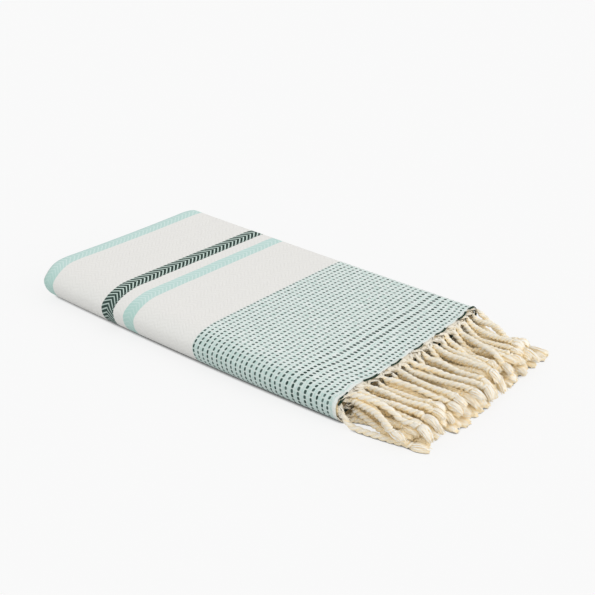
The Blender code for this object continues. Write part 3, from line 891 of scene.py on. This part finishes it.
def tube(sides, steps, centre_at, radius_at):
    """A closed tube along a line: a grid rolled up, its seam merged and its ends drawn to a point.
    Its UV map runs round the tube from 0 to 1, and along it in metres."""
    bpy.ops.mesh.primitive_grid_add(x_subdivisions=sides, y_subdivisions=steps + 2, size=1)
    thing = bpy.context.object
    shares = [0.0] + [step / steps for step in range(steps + 1)] + [1.0]
    points = np.array([centre_at(share) for share in shares])
    ahead = np.gradient(points[1:-1], axis=0)
    ahead = unit(np.vstack((ahead[:1], ahead, ahead[-1:])))
    upright = np.where(np.abs(ahead[:, 2:]) > 0.8, [[1.0, 0.0, 0.0]], [[0.0, 0.0, 1.0]])
    first = unit(np.cross(ahead, upright))
    second = np.cross(ahead, first)
    radii = np.array([0.0] + [radius_at(share) for share in shares[1:-1]] + [0.0])
    angles = np.arange(sides + 1) / sides * math.tau
    rolled = (
        points[:, None, :]
        + radii[:, None, None] * np.cos(angles)[None, :, None] * first[:, None, :]
        + radii[:, None, None] * np.sin(angles)[None, :, None] * second[:, None, :]
    )
    thing.data.vertices.foreach_set("co", rolled.ravel())
    corner_of = np.zeros(len(thing.data.loops), dtype=int)
    thing.data.loops.foreach_get("vertex_index", corner_of)
    rows, columns = np.divmod(corner_of, sides + 1)
    uv = np.stack((columns / sides, lengths_along(points)[rows]), axis=1)
    thing.data.uv_layers[0].data.foreach_set("uv", uv.ravel())
    bpy.ops.object.mode_set(mode="EDIT")
    bpy.ops.mesh.select_all(action="SELECT")
    bpy.ops.mesh.remove_doubles(threshold=0.000001)
    bpy.ops.mesh.normals_make_consistent(inside=False)
    bpy.ops.object.mode_set(mode="OBJECT")
    bpy.ops.object.shade_smooth()
    thing.select_set(False)
    return thing


def join(name, things):
    bpy.ops.object.select_all(action="DESELECT")
    for thing in things:
        thing.select_set(True)
    bpy.context.view_layer.objects.active = things[0]
    bpy.ops.object.join()
    things[0].name = name
    things[0].data.name = name
    things[0].select_set(False)
    return things[0]


def gathered_yarn(start):
    """A yarn that leaves the hem at this offset from the root and runs into the cord."""

    def centre_at(share):
        narrowing = 1 - share * share * (3 - 2 * share)
        bulge = GATHER_BULGE * math.sin(math.pi * share)
        return (start * narrowing, bulge * math.cos(start * BULGE_TURN), share * GATHER_LENGTH)

    return tube(*YARN_GRID, centre_at, lambda share: mix(*GATHERED_RADII, share))


def ply_of_cord(phase, turns, end):
    def centre_at(share):
        angle = math.tau * (turns * share + phase)
        return (PLY_OFFSET * math.cos(angle), PLY_OFFSET * math.sin(angle), mix(CORD_FROM, end, share))

    def radius_at(share):
        return PLY_RADIUS * min(1.0, PLY_START + PLY_GROWTH * share)

    return tube(*PLY_GRID, centre_at, radius_at)


def knot(middle):
    def centre_at(share):
        angle = math.tau * KNOT_TURNS * share
        rise = middle - KNOT_HALF * math.cos(math.pi * share)
        offset = KNOT_OFFSET * (KNOT_SHAPE[0] + KNOT_SHAPE[1] * math.sin(math.pi * share) ** 0.5)
        return (offset * math.cos(angle), offset * math.sin(angle), rise + KNOT_TILT * math.sin(angle))

    return tube(*KNOT_GRID, centre_at, lambda share: KNOT_RADIUS)


def brush_half(share):
    """Half the width of a brush: it swells beyond the knot and closes to a round end."""
    return BRUSH_HALF * math.sin(math.pi * (BRUSH_SHAPE[0] + BRUSH_SHAPE[1] * share)) ** BRUSH_FULLNESS


def brush_yarn(draw, start, flare, bend, radius):
    """A yarn on the outside of a brush. Flare is how far out its end stands, bend how much it waves."""
    angle = draw.uniform(0, math.tau)
    spread = draw.uniform(*BRUSH_SPREAD)
    turn = draw.uniform(-BRUSH_TURN, BRUSH_TURN)
    end = MODEL_LENGTH - draw.uniform(0.0, BRUSH_UNEVEN)
    wave = draw.uniform(-bend, bend)

    def centre_at(share):
        out = brush_half(share) * spread + flare * share**3
        course = angle + turn * share
        aside = wave * math.sin(math.pi * share * END_WAVES)
        return (
            out * math.cos(course) - aside * math.sin(course),
            out * math.sin(course) + aside * math.cos(course),
            mix(start, end, share),
        )

    return tube(*END_GRID, centre_at, lambda share: radius * (END_TAPER[0] - END_TAPER[1] * share))


def brush_core(start):
    end = MODEL_LENGTH - CORE_SHORTER

    def centre_at(share):
        return (0.0, 0.0, mix(start, end, share))

    return tube(*CORE_GRID, centre_at, lambda share: CORE_SHARE * brush_half(share))


def coordinates(thing):
    values = np.zeros(len(thing.data.vertices) * 3)
    thing.data.vertices.foreach_get("co", values)
    return values.reshape(-1, 3)


def strand_model(seed, turns, shift):
    draw = random.Random(seed)
    knot_at = KNOT_AT + shift
    start = knot_at + BRUSH_AFTER_KNOT
    offsets = [mix(-GATHER_HALF, GATHER_HALF, n / (GATHERED_YARNS - 1)) for n in range(GATHERED_YARNS)]
    pieces = [gathered_yarn(offset) for offset in offsets]
    pieces += [ply_of_cord(phase, turns, knot_at) for phase in (0.0, 0.5)]
    pieces += [knot(knot_at), brush_core(start)]
    pieces += [brush_yarn(draw, start, 0.0, BRUSH_BEND, BRUSH_RADIUS) for _ in range(BRUSH_YARNS)]
    for _ in range(STRAY_ENDS):
        pieces.append(brush_yarn(draw, start, draw.uniform(0.0, STRAY_FLARE), STRAY_BEND, STRAY_RADIUS))
    model = join("strand_model", pieces)
    places = coordinates(model)
    from_axis = np.hypot(places[:, 0], places[:, 1])
    outside = np.clip((from_axis - SHADE_FROM) / (SHADE_TO - SHADE_FROM), 0.0, 1.0)
    outside[places[:, 2] < GATHER_LENGTH * WEB_SHARE] = 2.0
    model.data.attributes.new("outside", "FLOAT", "POINT").data.foreach_set("value", outside)
    loose = np.clip((places[:, 2] - knot_at) / KNOT_HALF, 0.0, 1.0)
    model.data.attributes.new("loose", "FLOAT", "POINT").data.foreach_set("value", loose)
    return model


def smooth_line(points, steps=6):
    """Points along a smooth curve through these ones, close together, and their distances along it."""
    points = np.array(points)
    padded = np.vstack((2 * points[0] - points[1], points, 2 * points[-1] - points[-2]))
    rows = []
    for number in range(len(points) - 1):
        before, start, end, after = padded[number : number + 4]
        for step in range(steps):
            t = step / steps
            rows.append(
                start
                + 0.5 * t * (end - before)
                + 0.5 * t * t * (2 * before - 5 * start + 4 * end - after)
                + 0.5 * t * t * t * (3 * start - before - 3 * end + after)
            )
    rows.append(points[-1])
    rows = np.array(rows)
    return rows, lengths_along(rows)


def bend_strand(model, fringe, number, twist):
    """A copy of the straight strand, laid along the line of this strand of the fringe."""
    copy = model.copy()
    copy.data = model.data.copy()
    bpy.context.collection.objects.link(copy)
    flat = coordinates(copy)
    line, length_at = smooth_line(strand_lines[fringe, number])
    course = np.gradient(line, axis=0)
    side = unit(np.cross(course, (0.0, 0.0, 1.0)))
    up = unit(np.cross(side, course))
    where = flat[:, 2] / MODEL_LENGTH * length_at[-1]
    turned_x = flat[:, 0] * math.cos(twist) - flat[:, 1] * math.sin(twist)
    turned_y = flat[:, 0] * math.sin(twist) + flat[:, 1] * math.cos(twist)
    along_line, side_at, up_at = (
        np.stack([np.interp(where, length_at, rows[:, axis]) for axis in range(3)], axis=1)
        for rows in (line, side, up)
    )
    bent = along_line + side_at * turned_x[:, None] + up_at * turned_y[:, None]
    loose = np.clip(flat[:, 2] / GATHER_LENGTH, 0.0, 1.0)
    loose = loose * loose * (3 - 2 * loose)
    for index in np.flatnonzero(loose < 1.0):
        spot = root_at[fringe][number] - flat[index, 0]
        at_hem = np.array(hem_point(fringe, spot, flat[index, 2] + OFF_HEM, flat[index, 1]))
        bent[index] = mix(at_hem, bent[index], loose[index])
    bent[:, 2] = np.maximum(bent[:, 2], OFF_FLOOR)
    put_in_frame(copy, bent)
    return copy


models = [strand_model(*kind) for kind in STRAND_KINDS]
twists = random.Random(STRAND_TWIST_SEED)
fringe_pieces = {}
for fringe, name in (("fringe_top", "upper_fringe"), ("fringe_under", "lower_fringe")):
    copies = []
    for number in range(STRANDS_PER_HEM):
        copies.append(bend_strand(twists.choice(models), fringe, number, twists.uniform(0, math.tau)))
    fringe_pieces[fringe] = join(name, copies)
for model in models:
    bpy.data.objects.remove(model)


def attribute(tree, name):
    node = tree.nodes.new("ShaderNodeAttribute")
    node.attribute_name = name
    return node.outputs["Fac"]


def openness(tree, distance):
    """How open a place is, as far as this distance from it: 0 deep in a hollow, 1 in the open."""
    node = tree.nodes.new("ShaderNodeAmbientOcclusion")
    node.inputs["Distance"].default_value = distance
    return node.outputs["AO"]


CREAM_YARN = (0.790, 0.725, 0.595, 1.0)
WHITE_YARN = (0.820, 0.780, 0.690, 1.0)
LOOSE_YARN_AND_PAINTED_LIGHT = (0.885, 0.870, 0.820, 1.0)
PAINTED_VALLEY_SHADE = (0.900, 0.700, 0.400, 1.0)
PAINTED_HOLLOW_SHADE = (1.000, 0.840, 0.550, 1.0)
LAY_ALONG = 420.0  # ridges of the yarn for each metre along a tube, and for each turn round it
LAY_ROUND = 9.0
MOTTLE_SCALE = 160.0
MOTTLE_EDGE = (0.35, 0.65)
LOOSE_SHARE = 0.85
VALLEY_SHADE_RAMP = (0.30, 0.74, 0.80, 0.0)  # from one share "outside" to another, the share of the painted valley shade
HOLLOW_SHADE_DEPTH = 0.010
HOLLOW_SHADE_RAMP = (0.30, 1.00, 1.00, 0.0)
WEB_RAMP = (1.2, 1.8, 1.0, 0.25)  # the yarns of the webs take a quarter of the painted hollow shade
cotton, tree, shader = new_material("fringe cotton", 0.9, specular=0.2, sheen=0.30)
round_yarn, along_yarn, _ = uv_parts(tree, "UVMap")
outside = attribute(tree, "outside")
loose = attribute(tree, "loose")
spots = tree.nodes.new("ShaderNodeTexCoord").outputs["Object"]
lay_of_yarn = calc(tree, "MULTIPLY", round_yarn, LAY_ROUND)
lay_of_yarn = calc(tree, "MULTIPLY_ADD", along_yarn, LAY_ALONG, lay_of_yarn)
yarn_ridge = calc(tree, "SINE", calc(tree, "MULTIPLY", lay_of_yarn, math.tau))
mottle = noise(tree, spots, MOTTLE_SCALE)
yarn = blend_colour(tree, ramp(tree, mottle, *MOTTLE_EDGE), CREAM_YARN, WHITE_YARN)
# The brushes beyond the knot are paler: fluffed-out yarn, lightened further with painted light for the light
# scattered through the fluff
yarn = blend_colour(tree, calc(tree, "MULTIPLY", loose, LOOSE_SHARE), yarn, LOOSE_YARN_AND_PAINTED_LIGHT)
# Painted shade: near a strand's axis, in the valleys between the plies and inside the brush, the yarn takes
# a deep golden colour
yarn = blend_colour(tree, ramp(tree, outside, *VALLEY_SHADE_RAMP), yarn, PAINTED_VALLEY_SHADE)
# Painted shade: in the hollows between yarns and cords the colour turns a warm gold, for the light bounced
# between the cream yarns there
hollow = ramp(tree, openness(tree, HOLLOW_SHADE_DEPTH), *HOLLOW_SHADE_RAMP)
hollow = calc(tree, "MULTIPLY", hollow, ramp(tree, outside, *WEB_RAMP))
yarn = blend_colour(tree, hollow, yarn, PAINTED_HOLLOW_SHADE)
plug(tree, shader["Base Color"], yarn)
add_bump(tree, shader, yarn_ridge, strength=0.25, distance=0.0003)
for fringe, piece in fringe_pieces.items():
    piece.data.materials.append(cotton)
    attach(piece, "root")
    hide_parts(fringe)

# ----------------------------------------------------------
# The green edge threads. The outermost weft of each hem, dark green cotton, shows as a bow of thread
# across each gap between two cords, where the gathered yarns draw away from it.

THREAD_RADIUS = 0.00052
THREAD_GRID = (5, 8)
THREAD_BOW = 0.0016
BOW_SPREAD = (0.6, 1.3)
LIFT_SPREAD = 0.0002
THREAD_GAP = 0.0050
GAP_SPREAD = (0.6, 1.0)
SLIT_SPREAD = (0.8, 1.1)
THREADS = ((0.0003, 0.0017), (0.0011, 0.0019), (0.0019, 0.0018))  # how far out each lies and how high
THREAD_CHANCE = 0.45  # share of the other gaps where the threads show
THREAD_SEED = 19
SLITS = (  # on the top of the towel: how far along the hem the middle of the bow is, and its length
    (0.009, 0.014),
    (0.057, 0.022),
    (0.096, 0.017),
    (0.136, 0.015),
    (0.176, 0.018),
    (0.2175, 0.020),
    (0.244, 0.012),
)
TOP_RUN = (2.0, 3.0)  # path values where the hem crosses the top of the towel


def hem_thread(fringe, start, end, outward, lift, draw):
    """A thread that bows out between two places on a hem."""
    bow = THREAD_BOW * draw.uniform(*BOW_SPREAD)
    lift += draw.uniform(-LIFT_SPREAD, LIFT_SPREAD)

    def centre_at(share):
        away = outward + bow * math.sin(math.pi * share)
        return tuple(hem_point(fringe, mix(start, end, share), away, lift))

    return tube(*THREAD_GRID, centre_at, lambda share: THREAD_RADIUS)


paths, lengths = hems["fringe_top"]
across_top = [number for number, path in enumerate(paths) if TOP_RUN[0] <= path <= TOP_RUN[1]]
widths_on_top = [place(paths[number], STACK_LENGTH, PLY_CENTRES[0]).y for number in across_top]
lengths_on_top = [lengths[number] for number in across_top]
threads = []
draw = random.Random(THREAD_SEED)
for middle, long in SLITS:
    middle = float(np.interp(middle, widths_on_top, lengths_on_top))
    for thread in THREADS:
        start = middle - long / 2 * draw.uniform(*SLIT_SPREAD)
        end = middle + long / 2 * draw.uniform(*SLIT_SPREAD)
        threads.append(hem_thread("fringe_top", start, end, *thread, draw))
for fringe in FRINGE_PLY:
    for before, after in zip(root_at[fringe], root_at[fringe][1:]):
        on_top = lengths_on_top[0] < after and before < lengths_on_top[-1]
        if on_top or draw.random() > THREAD_CHANCE:
            continue
        for thread in THREADS:
            start = before + THREAD_GAP * draw.uniform(*GAP_SPREAD)
            end = after - THREAD_GAP * draw.uniform(*GAP_SPREAD)
            threads.append(hem_thread(fringe, start, end, *thread, draw))
edge_threads = join("edge_threads", threads)
put_in_frame(edge_threads, coordinates(edge_threads))
green, _, shader = new_material("green thread", 0.85, specular=0.2)
shader["Base Color"].default_value = (0.016, 0.042, 0.026, 1.0)
edge_threads.data.materials.append(green)
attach(edge_threads, "root")

# ----------------------------------------------------------
# The floor, the light and the camera. A plain near-white floor lies under one wide soft light in a bright
# room, and the camera looks down at it over the near corner of the fringe.

FLOOR_SHADE = (0.130, 0.130, 0.130, 1.0)
FLOOR_GLOW = 0.812
CONTACT_DISTANCE = 0.0060  # the line of shade where the towel touches the floor
CONTACT_EDGE = (0.08, 0.50)
SPILL_DISTANCE = 0.0400
SPILL_EDGE = (0.25, 1.00)
FLOOR_SPILL = (0.36, 0.86)  # share of its glow sent up by the floor, close beside the towel and away from it
ROOM_STRENGTH = 0.86
SUN_ENERGY = 1.45
SUN_WIDTH = 80
SUN_TILT = (4, 65, 0)
CAMERA_AT = (1.19457, -0.92130, 0.69964)
CAMERA_TILT = (64.7314, 0.0, 40.857)
CAMERA_LENS = 84.76
CAMERA_SENSOR = 36.0

bpy.ops.mesh.primitive_plane_add(size=8.0)
floor = bpy.context.object
floor.name = "floor"
paint, tree, shader = new_material("floor paint", 1.0, specular=0.0)
shader["Base Color"].default_value = FLOOR_SHADE
# The floor glows. Near the towel its glow is cut by how open the floor is: a thin painted contact shadow for
# the camera, and less light sent up beside the towel
seen = ramp(tree, openness(tree, CONTACT_DISTANCE), *CONTACT_EDGE)
spilled = ramp(tree, openness(tree, SPILL_DISTANCE), *SPILL_EDGE, *FLOOR_SPILL)
by_camera = tree.nodes.new("ShaderNodeLightPath").outputs["Is Camera Ray"]
sent = calc(tree, "MULTIPLY_ADD", by_camera, calc(tree, "SUBTRACT", seen, spilled), spilled)
shader["Emission Color"].default_value = (1.0, 1.0, 1.0, 1.0)
plug(tree, shader["Emission Strength"], calc(tree, "MULTIPLY", sent, FLOOR_GLOW))
floor.data.materials.append(paint)

room = bpy.data.worlds.new("room")
room.use_nodes = True
background = room.node_tree.nodes["Background"].inputs
background["Color"].default_value = (1.0, 1.0, 1.0, 1.0)
background["Strength"].default_value = ROOM_STRENGTH
bpy.context.scene.world = room
bpy.ops.object.light_add(type="SUN", rotation=[math.radians(angle) for angle in SUN_TILT])
sun = bpy.context.object
sun.name = "overhead_light"
sun.data.energy = SUN_ENERGY
sun.data.angle = math.radians(SUN_WIDTH)

bpy.ops.object.camera_add(
    location=towel_corner + Vector(CAMERA_AT),
    rotation=[math.radians(angle) for angle in CAMERA_TILT],
)
camera = bpy.context.object
camera.name = "photo_camera"
camera.data.sensor_width = CAMERA_SENSOR
camera.data.lens = CAMERA_LENS
bpy.context.scene.camera = camera
bpy.context.scene.view_settings.view_transform = "Standard"
